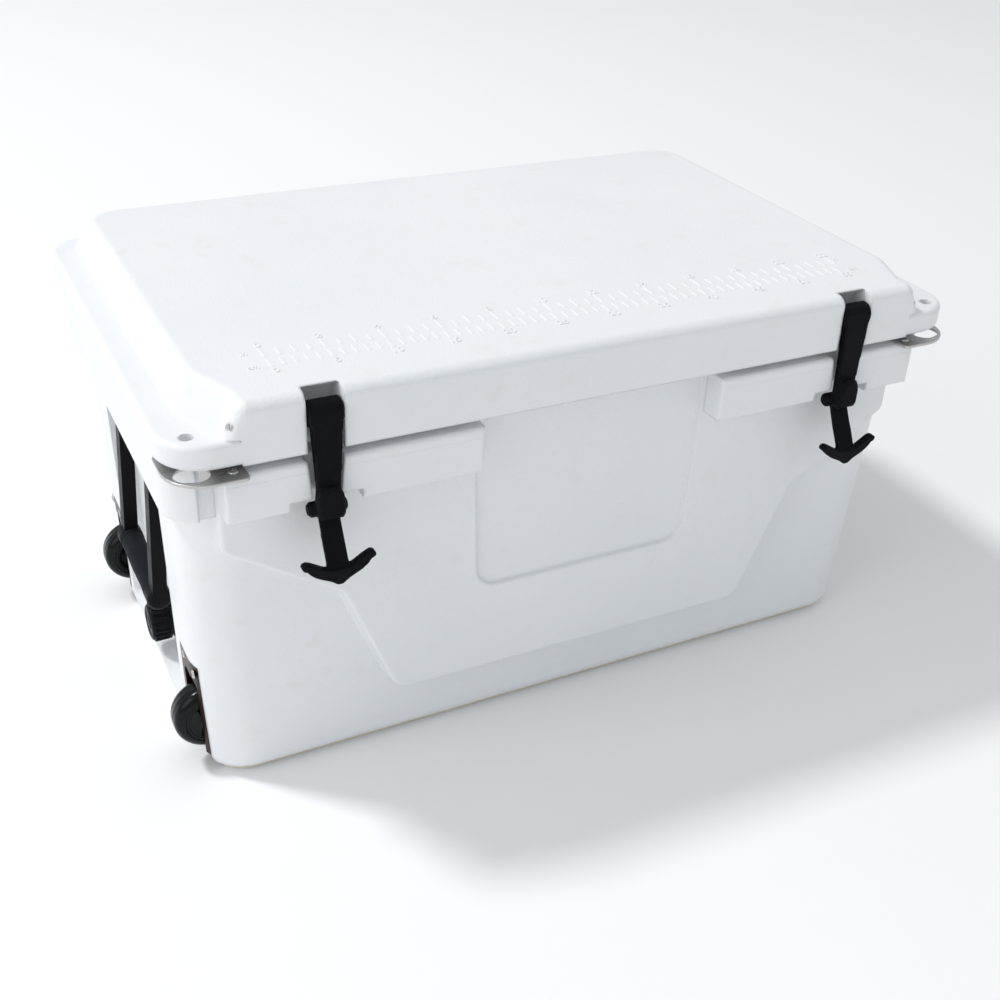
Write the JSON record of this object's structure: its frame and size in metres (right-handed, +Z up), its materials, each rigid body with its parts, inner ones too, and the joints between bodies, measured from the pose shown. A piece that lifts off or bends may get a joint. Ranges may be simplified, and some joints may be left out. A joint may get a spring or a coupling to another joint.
{
  "type": "wheeled cooler box",
  "caption": "Wheeled rotomoulded cooler box with a hinged lid, rubber T-latches, bail handles, corner plates, a drain plug and a moulded ruler on the lid.",
  "frame": {"origin": "centre of the flat underside of the tub, on the ground", "axes": "+Z up, -Y towards the latches at the front, -X towards the wheeled end"},
  "size_m": [0.7546, 0.512, 0.4],
  "materials": {
    "white_shell": "white rotomoulded polyethylene with a fine orange-peel skin",
    "foam_core": "cream polyurethane foam",
    "stainless": "brushed stainless steel",
    "latch_rubber": "matt black rubber",
    "grip_rubber": "matt black rubber sleeve",
    "seal_rubber": "grey-black seal rubber",
    "tyre": "smooth black solid tyre",
    "wheel_plastic": "glossy black moulded plastic",
    "bracket_plastic": "dark brown-black moulded plastic",
    "handle_plastic": "black moulded plastic",
    "drain_plastic": "black moulded plastic"
  },
  "bodies": {
    "tub": {"bracket_screws": "stainless", "corner_plate_left": "stainless", "corner_plate_right": "stainless", "drain_gasket": "seal_rubber", "drain_tube": "drain_plastic", "handle_mount_left": "handle_plastic", "handle_mount_right": "handle_plastic", "handle_rod_left": "stainless", "handle_rod_right": "stainless", "handle_screws": "stainless", "hinge_base_left": "stainless", "hinge_base_right": "stainless", "hinge_pin_left": "stainless", "hinge_pin_right": "stainless", "hinge_screws_body": "stainless", "plate_screws": "stainless", "tub_foam": "foam_core", "tub_liner": "white_shell", "tub_shell": "white_shell", "wheel_axle_front": "stainless", "wheel_axle_rear": "stainless", "wheel_bracket_front": "bracket_plastic", "wheel_bracket_rear": "bracket_plastic"},
    "lid": {"hinge_leaf_left": "stainless", "hinge_leaf_right": "stainless", "hinge_screws_lid": "stainless", "latch_pin_left": "stainless", "latch_pin_right": "stainless", "lid_foam": "foam_core", "lid_gasket": "seal_rubber", "lid_liner": "white_shell", "lid_shell": "white_shell"},
    "latch_left_arm": {"latch_left": "latch_rubber"},
    "latch_right_arm": {"latch_right": "latch_rubber"},
    "handle_left": {"handle_bail_left": "handle_plastic", "handle_grip_left": "grip_rubber"},
    "handle_right": {"handle_bail_right": "handle_plastic", "handle_grip_right": "grip_rubber"},
    "wheel_front": {"wheel_tyre_front": "tyre", "wheel_hub_front": "wheel_plastic"},
    "wheel_rear": {"wheel_tyre_rear": "tyre", "wheel_hub_rear": "wheel_plastic"},
    "drain_cap": {"drain_plug": "drain_plastic"}
  },
  "joints": [
    {"name": "lid_hinge", "type": "hinge", "parent": "tub", "child": "lid", "pos_m": [0, 0.246, 0.344], "axis": [-1, 0, 0], "range_deg": [0, 95]},
    {"name": "latch_left_swing", "type": "hinge", "parent": "lid", "child": "latch_left_arm", "pos_m": [-0.2525, -0.23, 0.38], "axis": [-1, 0, 0], "range_deg": [0, 120]},
    {"name": "latch_right_swing", "type": "hinge", "parent": "lid", "child": "latch_right_arm", "pos_m": [0.2525, -0.23, 0.38], "axis": [-1, 0, 0], "range_deg": [0, 120]},
    {"name": "handle_left_swing", "type": "hinge", "parent": "tub", "child": "handle_left", "pos_m": [-0.351, 0, 0.272], "axis": [0, 1, 0], "range_deg": [0, 90]},
    {"name": "handle_right_swing", "type": "hinge", "parent": "tub", "child": "handle_right", "pos_m": [0.351, 0, 0.272], "axis": [0, -1, 0], "range_deg": [0, 90]},
    {"name": "wheel_front_spin", "type": "hinge", "parent": "tub", "child": "wheel_front", "pos_m": [-0.344, -0.1445, 0.051], "axis": [0, 1, 0], "continuous": true},
    {"name": "wheel_rear_spin", "type": "hinge", "parent": "tub", "child": "wheel_rear", "pos_m": [-0.344, 0.1445, 0.051], "axis": [0, 1, 0], "continuous": true},
    {"name": "drain_plug_turn", "type": "hinge", "parent": "tub", "child": "drain_cap", "pos_m": [-0.35, 0, 0.057], "axis": [-1, 0, 0], "range_deg": [0, 720]}
  ]
}
